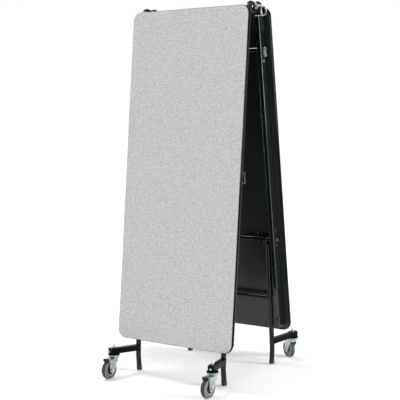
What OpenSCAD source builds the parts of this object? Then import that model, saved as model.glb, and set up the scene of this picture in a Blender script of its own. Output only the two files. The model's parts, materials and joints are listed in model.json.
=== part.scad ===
// Folding cafeteria table on four casters, shown folded for storage.
// The far half stands at +Y and the near half is the same set of pieces turned half round about Z.

/* [Table top] */
// Length of each half of the top, from the centre joint to its end
half_l = 1829; // [1800:1:1850]
// Width of the top
top_w = 762; // [750:1:790]
// Thickness of the particle board core
core_t = 19; // [18:0.5:20]
// Thickness of the laminate on the core
laminate_t = 1.2; // [0.8:0.1:1.6]
// Radius of the corners of each half
corner_r = 50; // [30:1:60]
// Thickness of the edge moulding outside the core
band_t = 3.5; // [3:0.1:5]
// Length of the barb that holds the moulding in the core
barb_l = 9; // [6:0.5:12]
// Thickness of that barb
barb_t = 2; // [1.5:0.1:3]

/* [Fold] */
// Lean of each half from upright when the table is folded
fold_tilt = 6.6; // [6.2:0.1:7]
// Height of the top's surface over the centre pins when the table is open
pin_drop = 110.5; // [108:0.5:113]
// Gap from the centre plane to each half when the table is open
joint_gap = 2; // [1:0.5:3]
// Height of the top's surface over the floor when the table is open
open_h = 771; // [760:1:785]
// Height of the folded top's lower edge over the floor
edge_z = 197.7; // [190:0.1:215]

/* [Side rails] */
// Width of a side rail
rail_w = 25; // [24:0.5:28]
// Depth of a side rail
rail_h = 57; // [55:0.5:59]
// Wall of a side rail
rail_wall = 2; // [1.6:0.1:2.2]
// Outer corner radius of a side rail
rail_r = 3; // [2.5:0.1:4]
// Distance from the edge of the top to a side rail
rail_inset = 35; // [32:1:38]
// Distance from the centre plane to the first end of a rail
rail_start = 40; // [40:1:48]
// Distance from the far end of a rail to the end of the top
rail_short = 44; // [36:1:70]
// Length of the rounded nose of a rail's end plug
nose_l = 13; // [12.5:0.5:20]

/* [Centre hinge] */
// Diameter of a hinge pin
pin_d = 12; // [11:0.5:13]
// Diameter of the pin's outer end, which the lift spring's eye goes round
pin_end_d = 8; // [7:0.5:8]
// Thickness of a hinge plate
plate_t = 4; // [3:0.1:4.5]
// Radius of the outer plate round the pin
boss_r = 14; // [12:0.5:16]
// Height of a plate's ear over the pin
ear_h = 31; // [29:0.5:33]
// Radius of the slotted disc of the inner plate
disc_r = 30; // [28:0.5:32]
// Distance of the stop bolt from the hinge pin
stop_r = 18; // [17.8:0.1:19]
// Diameter of the stop bolt
stop_d = 8; // [7:0.5:8]
// Length of a hinge plate along its rail
tongue_l = 90; // [80:1:110]

/* [Lift spring] */
// Diameter of the spring wire
wire_d = 5; // [4.5:0.1:5.2]
// Mean radius of the spring's curls
coil_r = 24; // [23:0.5:25]
// Distance between two curls, from wire to wire
coil_pitch = 5.7; // [5.7:0.1:6.5]
// Number of full curls
coil_turns = 2; // [1:1:2]

/* [Torsion bar] */
// Diameter of the cross tube between the rails
cross_d = 25; // [22:0.5:28]
// Wall of the cross tube
cross_wall = 1.6; // [1.2:0.1:2.5]
// Diameter of the torsion bar inside it
bar_d = 12; // [10:0.5:14]
// Distance from the centre plane to the cross tube
bar_u = 226; // [215:1:240]
// Length of the bar's anchor lever
lever_l = 58; // [54:1:64]
// Width of the anchor lever
lever_w = 29; // [26:0.5:32]
// Thickness of the anchor lever
lever_t = 9; // [6:0.5:12]

/* [Legs] */
// Diameter of the leg tube
leg_d = 28.6; // [27:0.2:30]
// Wall of the leg tube
leg_wall = 1.8; // [1.4:0.1:2.5]
// Distance from a rail's inner face to the middle line of a leg
leg_inset = 34; // [32:1:38]
// Length of a leg's pivot tube, to the middle line of the leg
pivot_tube_l = 177; // [140:1:190]
// Bend radius between the pivot tube and the leg
bend_r = 36; // [32:1:45]
// Lean of a leg from upright
leg_lean = 3.5; // [3:0.1:4]
// Height of the knee over the floor
knee_z = 96; // [92:1:100]
// Turn of the foot at the knee
foot_turn = 8; // [6:0.5:9]
// Gap between a foot and the floor while the casters carry the table
foot_clear = 6; // [4:0.5:8]
// Height of the lower cross tube between the legs
brace_z = 392; // [370:1:420]
// Diameter of that cross tube
brace_d = 25; // [22:0.5:27]

/* [Caster arms] */
// Distance from a leg out to its caster's stem, across the table
stem_splay = 42; // [36:1:46]
// Distance of a caster's stem from the centre plane
stem_y = 421; // [410:1:430]
// Width of the square arm
arm_w = 32; // [30:0.5:34]
// Wall of the square arm
arm_wall = 2.5; // [2:0.1:3]
// Height of the arm's middle line at the leg
arm_z = 135; // [133:1:138]
// Side of the block at the end of the arm
block_w = 36; // [34:0.5:38]
// Height of that block
block_h = 33; // [31:0.5:36]
// Length of that block
block_l = 46; // [40:1:50]

/* [Casters] */
// Diameter of a wheel
wheel_d = 102; // [98:1:103]
// Width of a wheel
wheel_w = 32; // [30:0.5:34]
// Diameter of the wheel's rigid core
rim_d = 72; // [66:1:76]
// Distance from the stem to the axle
trail = 45; // [42:0.5:48]
// Height of a caster, from the floor to the arm
caster_h = 130; // [129:0.5:132]
// Diameter of the swivel raceway
race_d = 64; // [60:1:66]
// Diameter of the stem
stem_d = 12.7; // [12:0.1:13]
// Diameter of the axle
axle_d = 8; // [7:0.5:9]
// Thickness of a fork leg
fork_t = 3.5; // [3:0.1:4]
// Turn of the far right caster about its stem
caster_turn = -123; // [-180:1:180]

/* [Fits] */
// Radial clearance of a part that turns
run_gap = 0.08; // [0.05:0.01:0.1]
// Radial clearance of a fastener in its hole
hole_gap = 0.05; // [0.04:0.01:0.1]
// Clearance between parts that pass each other
clear = 0.3; // [0.3:0.05:0.5]

/* [Hidden] */
$fn = 48;

eps = 0.01;
fold_a = 90 - fold_tilt;

// Heights over the pin, with the table open
top_v = pin_drop;
core_v = top_v - laminate_t;
under_v = core_v - core_t;
rail_v = under_v - rail_h;
rail_mid_v = under_v - rail_h / 2;

// Side rail, across the table
rail_out_x = top_w / 2 - rail_inset;
rail_in_x = rail_out_x - rail_w;
rail_mid_x = rail_out_x - rail_w / 2;
rail_end_u = joint_gap + half_l - rail_short;

// Leg pivot, under the board
saddle_gap = 6;
saddle_t = 4;
leg_r = leg_d / 2;
pivot_v = under_v - saddle_gap - leg_r;
pivot_z = open_h - (top_v - pivot_v);
edge_drop = pivot_z - edge_z + (top_v - pivot_v) * sin(fold_tilt);
pivot_u = joint_gap + half_l - edge_drop / cos(fold_tilt);
pivot_y = pivot_u * sin(fold_tilt) + pivot_v * cos(fold_tilt);
pin_z = pivot_z + pivot_u * cos(fold_tilt) - pivot_v * sin(fold_tilt);

// Legs and casters, across the table
leg_x = rail_in_x - leg_inset;
tube_in_x = leg_x - pivot_tube_l;
stem_x = leg_x + stem_splay;

// Half of the tyre's outline, as [radius, distance from its middle]
wheel_r = wheel_d / 2;
tyre_half = [
    [rim_d / 2, wheel_w / 2 - 2.5], [rim_d / 2 + 2, wheel_w / 2 - 0.8],
    [rim_d / 2 + 5, wheel_w / 2], [wheel_r - 6, wheel_w / 2], [wheel_r - 2.4, wheel_w / 2 - 1.6],
    [wheel_r - 0.6, wheel_w / 2 - 5], [wheel_r, wheel_w / 2 - 9]];

// The front casters trail to the front and one at the back is turned, so the centre plane
// lies this far behind the middle of the footprint
tyre_reach = max([for (p = tyre_half) p[0] * abs(cos(caster_turn)) + p[1] * abs(sin(caster_turn))]);
back_reach = tyre_reach - trail * cos(caster_turn);
fold_y = (trail + wheel_r - back_reach) / 2;

// Puts a piece of a half, drawn open with the pin at the origin, in its folded place
module in_half(side) {
    translate([0, fold_y, pin_z])
        rotate([0, 0, side > 0 ? 0 : 180])
            rotate([-fold_a, 0, 0]) children();
}

// Puts a piece of the far leg set in the near one, turned half round
module in_legs(side) {
    translate([0, fold_y, 0]) rotate([0, 0, side > 0 ? 0 : 180]) children();
}

// Outline of a rectangle with round corners, centred
module round_rect(w, h, r) {
    square([w - 2 * r, h], center = true);
    square([w, h - 2 * r], center = true);
    for (x = [-1, 1], y = [-1, 1])
        translate([x * (w / 2 - r), y * (h / 2 - r)]) circle(r = r);
}

// Outline round two circles, as a belt goes round two pulleys
module belt(p, rp, q, rq) {
    dist = norm(q - p);
    dir = atan2(q[1] - p[1], q[0] - p[0]);
    lean = acos((rp - rq) / dist);
    function on(c, r, a) = c + (r - eps) * [cos(a), sin(a)];
    translate(p) circle(r = rp);
    translate(q) circle(r = rq);
    polygon([on(p, rp, dir + lean), on(q, rq, dir + lean),
             on(q, rq, dir - lean), on(p, rp, dir - lean)]);
}

// Extrudes an outline drawn in (u, v) along X, from x0 to x1
module plate_x(x0, x1) {
    translate([x0, 0, 0]) rotate([90, 0, 90]) linear_extrude(x1 - x0) children();
}

// Rod along X, from x0 to x1, at (u, v)
module rod_x(x0, x1, r, u = 0, v = 0) {
    translate([x0, u, v]) rotate([0, 90, 0]) cylinder(r = r, h = x1 - x0);
}

// Hexagon along X, from x0 to x1, at (u, v), with the given size across its flats
module hex_x(x0, x1, flats, u = 0, v = 0) {
    translate([x0, u, v]) rotate([0, 90, 0])
        cylinder(r = flats / 2 / cos(30), h = x1 - x0, $fn = 6);
}

// Outline of a half of the top, drawn in by a distance
module top_outline(inset) {
    translate([0, joint_gap + half_l / 2])
        round_rect(top_w - 2 * inset, half_l - 2 * inset, corner_r - inset);
}

// The table top

module laminate(side) {
    color("gainsboro") in_half(side)
        translate([0, 0, core_v]) linear_extrude(laminate_t) top_outline(band_t);
}

groove_v = core_v - core_t / 2;
barb_gap = 0.1;
screw_r = 2.2;
screw_depth = 14;

// Places of the screws that hold the rails and the saddles to the core, as [x, u]
screw_first_u = 150;
screw_last_gap = 40;
rail_screw_u = [for (k = [0:5])
    screw_first_u + k * (rail_end_u - screw_last_gap - screw_first_u) / 5];
rail_screws = [for (s = [-1, 1], u = rail_screw_u) [s * rail_mid_x, u]];
saddle_w = 45;
saddle_inset = 37;
saddle_x = [leg_x - saddle_inset - saddle_w, leg_x - saddle_inset];
saddle_mid_x = (saddle_x[0] + saddle_x[1]) / 2;
saddle_screw_x = 14;
saddle_flange = 34;
saddle_screws = [for (s = [-1, 1], k = [-1, 1], e = [-1, 1])
    [s * saddle_mid_x + k * saddle_screw_x, pivot_u + e * (saddle_flange - 8)]];

module core(side) {
    color("dimgray") in_half(side) difference() {
        translate([0, 0, under_v]) linear_extrude(core_t) top_outline(band_t);
        translate([0, 0, groove_v - barb_t / 2 - barb_gap])
            linear_extrude(barb_t + 2 * barb_gap) difference() {
                top_outline(0);
                top_outline(band_t + barb_l + barb_gap);
            }
        for (p = concat(rail_screws, saddle_screws))
            translate([p[0], p[1], under_v - eps])
                cylinder(r = screw_r + hole_gap, h = screw_depth + clear);
    }
}

// Section of the edge moulding: a crowned face with a barb on its back
band_h = core_t + laminate_t;
band_crown_r = 22;
module band_section() {
    translate([-band_t, 0]) intersection() {
        translate([0, -band_h / 2]) square([band_t, band_h]);
        translate([band_t - band_crown_r, 0]) circle(r = band_crown_r, $fn = 96);
    }
    translate([-band_t - barb_l, groove_v - core_v + core_t - band_h / 2 - barb_t / 2])
        square([barb_l + eps, barb_t]);
}

module edge_band(side) {
    half_w = top_w / 2;
    straight_x = half_w - corner_r;
    y0 = joint_gap + corner_r;
    y1 = joint_gap + half_l - corner_r;
    color("black") in_half(side) translate([0, 0, under_v + band_h / 2]) {
        for (c = [[straight_x, y1, 0], [-straight_x, y1, 90],
                  [-straight_x, y0, 180], [straight_x, y0, 270]])
            translate([c[0], c[1], 0]) rotate([0, 0, c[2]])
                rotate_extrude(angle = 90, $fn = 96) translate([corner_r, 0]) band_section();
        for (s = [0, 1]) {
            translate([s ? -half_w : half_w, s ? y0 : y1, 0]) rotate([90, 0, s ? 180 : 0])
                linear_extrude(y1 - y0) band_section();
            translate([s ? straight_x : -straight_x, s ? joint_gap : joint_gap + half_l, 0])
                rotate([90, 0, s ? -90 : 90]) linear_extrude(2 * straight_x) band_section();
        }
    }
}

// The side rails

rivet_u = [for (k = [0.3, 0.85]) rail_start + tongue_l * k];
rivet_r = 3;
rivet_head_r = 5.5;
rivet_head_t = 1.6;
lever_bolt_r = 3;
pivot_bolt_r = 5;
rail_pin_u = [pivot_u - 58, pivot_u + 24];
rail_pin_r = 2;
bar_hole_gap = 0.5;
driver_r = 5;

// Bolts of the torsion bar's lever, as [u, v, thickness under the washer]
lever_far_u = bar_u + lever_l - lever_w;
lever_bolts = [[lever_far_u, rail_mid_v, lever_t], [lever_far_u + 3, rail_mid_v + 20, 0]];

// Ring beside the lever, as [u, v]
lever_ring = [bar_u + lever_l + 3, rail_mid_v - 8];
ring_r = 9;
ring_hole_r = 4.5;
ring_t = 4;

// The holes of a rail on the side sx, for its screws, its bolts and the torsion bar
module rail_holes(sx) {
    reach = rail_out_x + 1;
    for (u = rail_screw_u) {
        translate([rail_mid_x, u, rail_v - 1])
            cylinder(r = driver_r, h = rail_wall + 2);
        translate([rail_mid_x, u, rail_v + rail_h / 2])
            cylinder(r = screw_r + hole_gap, h = rail_h);
    }
    for (u = rivet_u)
        rod_x(rail_mid_x, reach, rivet_r + hole_gap, u, rail_mid_v);
    for (u = rail_pin_u) rod_x(rail_mid_x, reach, rail_pin_r + hole_gap, u, rail_mid_v);
    rod_x(rail_in_x - 1, reach, pivot_bolt_r + hole_gap, pivot_u, pivot_v);
    if (sx > 0) {
        rod_x(rail_in_x - 1, reach, bar_d / 2 + bar_hole_gap, bar_u, rail_mid_v);
        for (b = lever_bolts) rod_x(rail_mid_x, reach, lever_bolt_r + hole_gap, b[0], b[1]);
        rod_x(rail_mid_x, reach, ring_hole_r, lever_ring[0], lever_ring[1]);
    }
}

module rail(side, sx) {
    in_rail_r = rail_r - rail_wall;
    color([0.13, 0.13, 0.14]) in_half(side) mirror([sx > 0 ? 0 : 1, 0, 0]) difference() {
        translate([rail_mid_x, rail_end_u, rail_mid_v]) rotate([90, 0, 0])
            linear_extrude(rail_end_u - rail_start) difference() {
                round_rect(rail_w, rail_h, rail_r);
                round_rect(rail_w - 2 * rail_wall, rail_h - 2 * rail_wall, in_rail_r);
            }
        rail_holes(sx);
    }
}

plug_stub = 18;
plug_nose_r = 12;
module rail_plugs(side) {
    stub_w = rail_w - 2 * rail_wall - 2 * hole_gap;
    stub_h = rail_h - 2 * rail_wall - 2 * hole_gap;
    color([0.07, 0.07, 0.07]) in_half(side) for (sx = [-1, 1]) {
        translate([sx * rail_mid_x, rail_end_u, rail_mid_v]) {
            rotate([90, 0, 0]) linear_extrude(plug_stub)
                round_rect(stub_w, stub_h, rail_r - rail_wall);
            plate_x(-rail_w / 2, rail_w / 2) intersection() {
                translate([nose_l - rail_h / 2, 0]) round_rect(rail_h, rail_h, plug_nose_r);
                translate([0, -rail_h / 2]) square([nose_l, rail_h]);
            }
        }
    }
}

// The centre hinge: an outer and an inner plate on each side, one pin through both

wire_r = wire_d / 2;
coil_u = 21;
coil_v = rail_mid_v - 2;
outer_x0 = rail_out_x;
outer_x1 = rail_out_x + plate_t;
inner_x1 = rail_out_x - rail_wall;
inner_x0 = inner_x1 - plate_t;
stop_v = 2;
stop_u = -sqrt(stop_r * stop_r - stop_v * stop_v);
slot_gap = 0.6;
curl_rings = 8;
spring_boss_r = coil_r * cos(180 / curl_rings) - wire_r - clear;
spring_boss_l = 12;

// Ear of a plate, past the centre plane, with a tip bent back over the rail
ear_r = 9;
ear_tip_r = 4;
ear_v = [boss_r + 6, rail_mid_v - 20];
module ear() {
    ear_u = ear_r - ear_h;
    ear_tip = [ear_u + ear_r, rail_mid_v + ear_tip_r - 1];
    belt([0, 0], boss_r, [ear_u, ear_v[0]], ear_r);
    belt([ear_u, ear_v[0]], ear_r, [ear_u + 1, ear_v[1]], ear_r - 1);
    belt([ear_u + 1, ear_v[1]], ear_r - 1, ear_tip, ear_tip_r);
}

// A rivet of a plate, from x0 to x1, with a head past each end
module rivet(x0, x1, u) {
    rod_x(x0 - eps, x1 + eps, rivet_r, u, rail_mid_v);
    rod_x(x0 - rivet_head_t, x0, rivet_head_r, u, rail_mid_v);
    rod_x(x1, x1 + rivet_head_t, rivet_head_r, u, rail_mid_v);
}

module outer_hinge_plate(side, sx) {
    tongue_r = 20;
    tongue_u = rail_start + tongue_l - tongue_r;
    color([0.1, 0.11, 0.11]) in_half(side) mirror([sx > 0 ? 0 : 1, 0, 0]) {
        difference() {
            union() {
                plate_x(outer_x0, outer_x1) {
                    ear();
                    belt([0, 0], boss_r, [coil_u, coil_v], spring_boss_r);
                    belt([coil_u, coil_v], spring_boss_r, [tongue_u, rail_mid_v], tongue_r);
                }
                rod_x(outer_x0, outer_x1 + spring_boss_l, spring_boss_r, coil_u, coil_v);
                for (u = rivet_u) rivet(inner_x1, outer_x1, u);
            }
            rod_x(outer_x0 - 1, outer_x1 + 1, pin_d / 2 + run_gap);
            rod_x(outer_x0 - 1, outer_x1 + 1, stop_d / 2 + hole_gap, stop_u, stop_v);
            rod_x(outer_x1 + 2, outer_x1 + spring_boss_l + 1, spring_boss_r - 4, coil_u, coil_v);
        }
    }
}

// Ring slot in which the other half's stop bolt travels as the table opens
module stop_slot(x0, x1) {
    slot_r = stop_d / 2 + slot_gap;
    first = atan2(stop_v, -stop_u);
    translate([x0, 0, 0]) rotate([first, 0, 0]) rotate([90, 0, 90]) {
        rotate_extrude(angle = 2 * fold_a, $fn = 96)
            translate([stop_r - slot_r, 0]) square([2 * slot_r, x1 - x0]);
        for (a = [0, 2 * fold_a]) rotate([0, 0, a]) translate([stop_r, 0, 0])
            cylinder(r = slot_r - eps, h = x1 - x0);
    }
}

module inner_hinge_plate(side, sx) {
    tongue_h = rail_h - 2 * rail_wall - 12;
    root_u = 14;
    color([0.1, 0.11, 0.11]) in_half(side) mirror([sx > 0 ? 0 : 1, 0, 0]) difference() {
        union() {
            plate_x(inner_x0, inner_x1) ear();
            plate_x(inner_x0, inner_x1) belt([0, 0], disc_r, [root_u, rail_mid_v - 3], tongue_h / 2);
            plate_x(inner_x0, inner_x1) translate([root_u, rail_mid_v - tongue_h / 2])
                square([rail_start + tongue_l - root_u, tongue_h]);
            for (u = rivet_u) rivet(inner_x0, rail_out_x, u);
        }
        stop_slot(inner_x0 - 1, inner_x1 + 1);
        rod_x(inner_x0 - 1, inner_x1 + 1, pin_d / 2 + run_gap);
    }
}

washer_t = 2;
pin_head_t = 5;
nut_t = 6.5;
nut_flats = 18;
eye_x = outer_x1 + clear + wire_r;
module hinge_pins() {
    spacer = rail_wall - 2 * hole_gap;
    cap_x = eye_x + wire_r + clear;
    color([0.25, 0.26, 0.27]) in_half(-1) for (s = [0, 1]) mirror([s, 0, 0]) {
        rod_x(inner_x0 - hole_gap, outer_x1 + hole_gap, pin_d / 2);
        rod_x(outer_x1, cap_x + eps, pin_end_d / 2);
        rod_x(cap_x, cap_x + washer_t, pin_end_d / 2 + 4);
        hex_x(cap_x + washer_t, cap_x + washer_t + pin_head_t, 13);
        hex_x(inner_x0 - hole_gap - nut_t, inner_x0 - hole_gap, nut_flats);
        difference() {
            rod_x(inner_x1 + hole_gap, inner_x1 + hole_gap + spacer, pin_d / 2 + 5);
            rod_x(inner_x1, outer_x0, pin_d / 2 + hole_gap);
        }
    }
}

// The lift spring: an eye round the pin, an arm to the coil, the curls, and a hook under the rail

eye_r = pin_end_d / 2 + 0.4 + wire_r;
coil_c = [coil_u, coil_v];
tangent_a = atan2(coil_v, coil_u) + acos((eye_r - coil_r) / norm(coil_c));
eye_turn = 265;
coil_turn = tangent_a + 360 * coil_turns;
eye_steps = 10;
coil_steps = ceil(coil_turn / 360 * curl_rings);
coil_end_x = eye_x + coil_turn / 360 * coil_pitch;
hook_r = 7;
hook_x = rail_in_x + 6;
hook_u = coil_u + coil_r;
hook_v = rail_v - clear - wire_r;
spring_path = concat(
    [for (k = [0:eye_steps]) let (a = tangent_a + eye_turn * (1 - k / eye_steps))
        [eye_x, eye_r * cos(a), eye_r * sin(a)]],
    [for (k = [0:coil_steps]) let (f = k / coil_steps, a = tangent_a - coil_turn * f)
        [eye_x + coil_turn / 360 * coil_pitch * f,
         coil_u + coil_r * cos(a), coil_v + coil_r * sin(a)]],
    [for (k = [0:3]) let (a = 30 * k)
        [coil_end_x - hook_r * (1 - cos(a)), hook_u, hook_v + hook_r * (1 - sin(a))]],
    [[hook_x, hook_u, hook_v]]);

// Unit vector along v
function unit(v) = v / norm(v);

// Direction of a path at point i, from its two neighbours
function heading(path, i) =
    unit(path[min(i + 1, len(path) - 1)] - path[max(i - 1, 0)]);

// Side vector carried along the path so that the tube doesn't twist
function sides(path, i, last) =
    let (t = heading(path, i), s = unit(last - (last * t) * t))
    i == len(path) - 1 ? [s] : concat([s], sides(path, i + 1, s));

// Round tube along a path of points
module swept_tube(path, r, n) {
    side = sides(path, 0, [0.3, 0.5, 0.8]);
    points = [for (i = [0:len(path) - 1], k = [0:n - 1])
        let (t = heading(path, i), a = 360 * k / n)
        path[i] + r * (cos(a) * side[i] + sin(a) * cross(t, side[i]))];
    last = (len(path) - 1) * n;
    faces = concat(
        [[for (k = [n - 1:-1:0]) k]],
        [for (i = [0:len(path) - 2], k = [0:n - 1]) let (a = i * n + k, b = i * n + (k + 1) % n)
            each [[a, b, b + n], [a, b + n, a + n]]],
        [[for (k = [0:n - 1]) last + k]]);
    polyhedron(points, faces);
}

// Least gap of the spring to itself, between points that lie more than a few rings apart
spring_gap = min([for (i = [0:len(spring_path) - 1], j = [0:len(spring_path) - 1])
    if (j > i + 4) norm(spring_path[i] - spring_path[j]) - wire_d]);
echo(spring_gap = spring_gap);  // far_lift_spring

module lift_spring(side) {
    color("silver") in_half(side) swept_tube(spring_path, wire_r, 6);
}

// The cross tube and the torsion bar in it

module cross_tube(side) {
    color([0.13, 0.13, 0.14]) in_half(side) difference() {
        rod_x(-rail_in_x, rail_in_x, cross_d / 2, bar_u, rail_mid_v);
        rod_x(-rail_in_x - 1, rail_in_x + 1, cross_d / 2 - cross_wall, bar_u, rail_mid_v);
    }
}

lever_x = rail_out_x;
module torsion_bar(side) {
    color([0.62, 0.65, 0.68]) in_half(side) difference() {
        union() {
            rod_x(-rail_in_x / 2, lever_x + lever_t + 4, bar_d / 2, bar_u, rail_mid_v);
            plate_x(lever_x, lever_x + lever_t)
                belt([bar_u, rail_mid_v], lever_w / 2, [lever_far_u, rail_mid_v], lever_w / 2 - 2);
            rod_x(lever_x, lever_x + lever_t + 2, bar_d / 2 + 4, bar_u, rail_mid_v);
        }
        rod_x(lever_x - 1, lever_x + lever_t + 3, lever_bolt_r + hole_gap,
              lever_far_u, rail_mid_v);
    }
}

// The saddles that hold the legs' pivot tubes under the board

module leg_saddles(side) {
    in_r = leg_r + run_gap;
    out_r = in_r + saddle_t;
    color([0.1, 0.1, 0.11]) in_half(side) for (s = [-1, 1]) difference() {
        translate([s * saddle_mid_x, 0, 0])
            plate_x(-(saddle_x[1] - saddle_x[0]) / 2, (saddle_x[1] - saddle_x[0]) / 2)
                difference() {
                    union() {
                        translate([pivot_u, pivot_v]) circle(r = out_r);
                        translate([pivot_u - out_r, pivot_v]) square([2 * out_r, under_v - pivot_v]);
                        translate([pivot_u - saddle_flange, under_v - saddle_t])
                            square([2 * saddle_flange, saddle_t]);
                    }
                    translate([pivot_u, pivot_v]) circle(r = in_r);
                    translate([pivot_u - in_r, pivot_v])
                        square([2 * in_r, under_v - pivot_v - saddle_t]);
                }
        for (p = saddle_screws) translate([p[0], p[1], under_v - saddle_t - 1])
            cylinder(r = screw_r + hole_gap, h = saddle_t + 2);
    }
}

// The wire keeper under the far half

keeper_x = 145;
keeper_u = 915;
keeper_w = 20;
keeper_l = 62;
keeper_wire_r = 2.5;
keeper_drop = 9;
module wire_keeper(side) {
    wire_v = under_v - keeper_drop;
    bend = 5;
    color("silver") in_half(side) translate([keeper_x, keeper_u, 0]) {
        for (s = [-1, 1]) translate([s * keeper_w / 2, 0, wire_v]) {
            translate([0, bend, 0]) rotate([-90, 0, 0])
                cylinder(r = keeper_wire_r, h = keeper_l - keeper_w / 2 - bend, $fn = 24);
            translate([0, bend, bend]) rotate([90, 180, 90])
                rotate_extrude(angle = 90, $fn = 24) translate([bend, 0])
                    circle(r = keeper_wire_r, $fn = 24);
            translate([0, 0, bend]) cylinder(r = keeper_wire_r, h = keeper_drop - bend, $fn = 24);
        }
        translate([0, keeper_l - keeper_w / 2, wire_v]) rotate_extrude(angle = 180, $fn = 32)
            translate([keeper_w / 2, 0]) circle(r = keeper_wire_r, $fn = 24);
        translate([-keeper_w / 2 - 6, -5, under_v - 1.5]) cube([keeper_w + 12, 10, 1.5]);
    }
}

// The fasteners of one half

module pan_head(r, h) {
    cylinder(r1 = r * 0.7, r2 = r, h = h * 0.5);
    translate([0, 0, h * 0.5]) cylinder(r = r, h = h * 0.5);
}

head_r = 4.2;
head_h = 3;
module top_fasteners(side) {
    cap_t = 4.5;
    color([0.7, 0.72, 0.75]) in_half(side) {
        for (p = rail_screws) translate([p[0], p[1], 0]) {
            translate([0, 0, under_v - rail_wall - head_h]) pan_head(head_r, head_h);
            translate([0, 0, under_v - rail_wall - eps])
                cylinder(r = screw_r, h = rail_wall + screw_depth);
        }
        for (p = saddle_screws) translate([p[0], p[1], 0]) {
            translate([0, 0, under_v - saddle_t - head_h]) pan_head(head_r, head_h);
            translate([0, 0, under_v - saddle_t - eps])
                cylinder(r = screw_r, h = saddle_t + screw_depth);
        }
        for (s = [0, 1]) mirror([s, 0, 0]) {
            for (u = rail_pin_u) {
                rod_x(rail_out_x, rail_out_x + 1.6, rail_pin_r * 2, u, rail_mid_v);
                rod_x(rail_out_x - rail_wall - 5, rail_out_x + eps, rail_pin_r, u, rail_mid_v);
            }
            rod_x(rail_out_x, rail_out_x + 4, pivot_bolt_r * 1.7, pivot_u, pivot_v);
            rod_x(leg_x + leg_r, rail_out_x + eps, pivot_bolt_r, pivot_u, pivot_v);
        }
        rod_x(outer_x1, outer_x1 + 1.5, stop_d / 2 + 4, stop_u, stop_v);
        hex_x(outer_x1 + 1.5, outer_x1 + 6, 12, stop_u, stop_v);
        rod_x(inner_x0 - clear - 6, outer_x1 + 2, stop_d / 2, stop_u, stop_v);
        hex_x(inner_x0 - clear - 5, inner_x0 - clear, 13, stop_u, stop_v);
        for (b = lever_bolts) {
            face = rail_out_x + b[2];
            rod_x(face, face + 1.5, lever_bolt_r * 2.2, b[0], b[1]);
            hex_x(face + 1.5, face + 1.5 + cap_t, 10, b[0], b[1]);
            rod_x(inner_x1 - cap_t - 1, face + eps, lever_bolt_r, b[0], b[1]);
            hex_x(inner_x1 - cap_t, inner_x1, 10, b[0], b[1]);
        }
        difference() {
            rod_x(rail_out_x, rail_out_x + ring_t, ring_r, lever_ring[0], lever_ring[1]);
            rod_x(rail_out_x - 1, rail_out_x + ring_t + 1, ring_hole_r, lever_ring[0], lever_ring[1]);
        }
    }
}

// The legs

plug_t = 3;
leg_bush_x = leg_x + leg_r + 3;
knee_r = 60;
foot_step = 0.05;
leg_frame_l = (pivot_z - knee_z) / cos(leg_lean);

// The path of a leg as a solid rod: pivot tube, bend, leg, knee and foot, run on past the floor
module leg_rod(r) {
    translate([0, pivot_y, pivot_z]) rotate([leg_lean, 0, 0]) {
        rod_x(tube_in_x, leg_x - bend_r, r);
        translate([leg_x - bend_r, 0, -bend_r]) rotate([90, 0, 0])
            rotate_extrude(angle = 90, $fn = 96) translate([bend_r, 0]) circle(r = r);
        translate([leg_x, 0, -leg_frame_l]) cylinder(r = r, h = leg_frame_l - bend_r);
        translate([leg_x, -knee_r, -leg_frame_l]) rotate([-90, 0, 90])
            rotate_extrude(angle = foot_turn, $fn = 96) translate([knee_r, 0]) circle(r = r);
        translate([leg_x, -knee_r, -leg_frame_l]) rotate([-foot_turn, 0, 0])
            translate([0, knee_r, -knee_z]) cylinder(r = r - foot_step, h = knee_z + 1);
    }
}

cap_base_t = 4;
cap_wall = 0.8;
cap_h = 24;
module below(z) {
    translate([-top_w, 0, z - top_w]) cube([2 * top_w, top_w, top_w]);
}

module leg(side, sx) {
    color([0.12, 0.12, 0.13]) in_legs(side) mirror([sx > 0 ? 0 : 1, 0, 0]) difference() {
        union() {
            leg_rod(leg_r);
            translate([0, pivot_y, pivot_z])
                rod_x(leg_x - bend_r, rail_in_x - 1, leg_r - 3.5);
        }
        difference() {
            leg_rod(leg_r - leg_wall);
            translate([0, pivot_y, pivot_z])
                rod_x(leg_x - bend_r, rail_in_x, leg_r - 3.5);
            rod_x(tube_in_x - 1, tube_in_x + plug_t, leg_r, pivot_y, pivot_z);
        }
        rod_x(leg_x, rail_in_x, pivot_bolt_r + run_gap, pivot_y, pivot_z);
        below(foot_clear + cap_base_t);
    }
}

module foot_caps(side) {
    color([0.06, 0.06, 0.06]) in_legs(side) for (sx = [0, 1]) mirror([sx, 0, 0]) difference() {
        intersection() {
            leg_rod(leg_r + cap_wall);
            translate([-top_w, 0, foot_clear]) cube([2 * top_w, top_w, cap_h]);
        }
        difference() {
            leg_rod(leg_r + hole_gap);
            below(foot_clear + cap_base_t);
        }
    }
}

brace_y = pivot_y + (pivot_z - brace_z) * tan(leg_lean);
module leg_brace(side) {
    color([0.12, 0.12, 0.13]) in_legs(side) difference() {
        rod_x(-leg_x, leg_x, brace_d / 2, brace_y, brace_z);
        rod_x(-leg_x - 1, leg_x + 1, brace_d / 2 - cross_wall, brace_y, brace_z);
        for (s = [0, 1]) mirror([s, 0, 0]) leg_rod(leg_r);
    }
}

// The arms that carry the casters

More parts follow.
